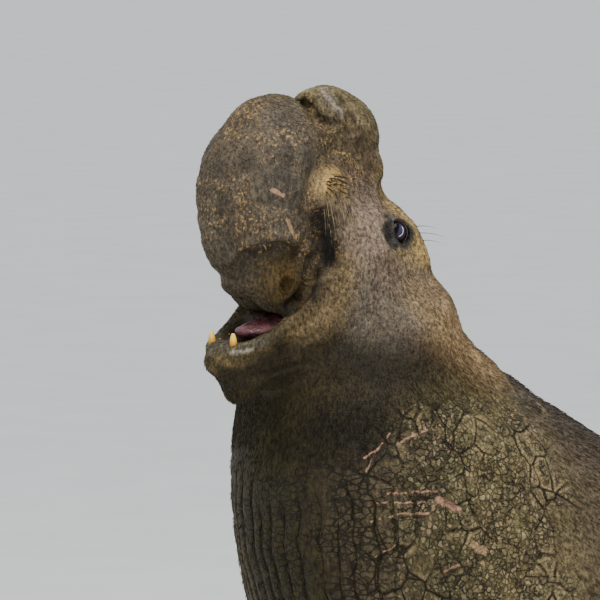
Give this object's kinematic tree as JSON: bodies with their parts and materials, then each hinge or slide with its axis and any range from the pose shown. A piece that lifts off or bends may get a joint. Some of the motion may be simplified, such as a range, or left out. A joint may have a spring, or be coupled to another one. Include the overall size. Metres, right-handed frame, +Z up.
{
  "type": "elephant seal",
  "caption": "Life-size museum model of a bull northern elephant seal, reared up on its fore flippers with its head thrown back and its mouth open.",
  "frame": {"origin": "on the floor, under the middle of the animal's bounding box", "axes": "-X towards the chest and the open mouth, +X towards the hind flippers, -Y to the animal's own left, +Z up"},
  "size_m": [3.9145, 1.7174, 1.799],
  "materials": {
    "hide": "short flat fur over thick creased skin, olive brown",
    "tongue": "soft and moist, dull red",
    "eye": "wet and glossy, nearly black"
  },
  "bodies": {
    "root": {"proboscis": "hide", "head": "hide", "lower_jaw": "hide", "neck": "hide", "chest": "hide", "torso": "hide", "rump": "hide", "tail": "hide", "fore_flipper_left": "hide", "fore_flipper_right": "hide", "hind_flipper_left": "hide", "hind_flipper_right": "hide", "tongue": "tongue", "eye_left": "eye", "eye_right": "eye"}
  },
  "joints": []
}
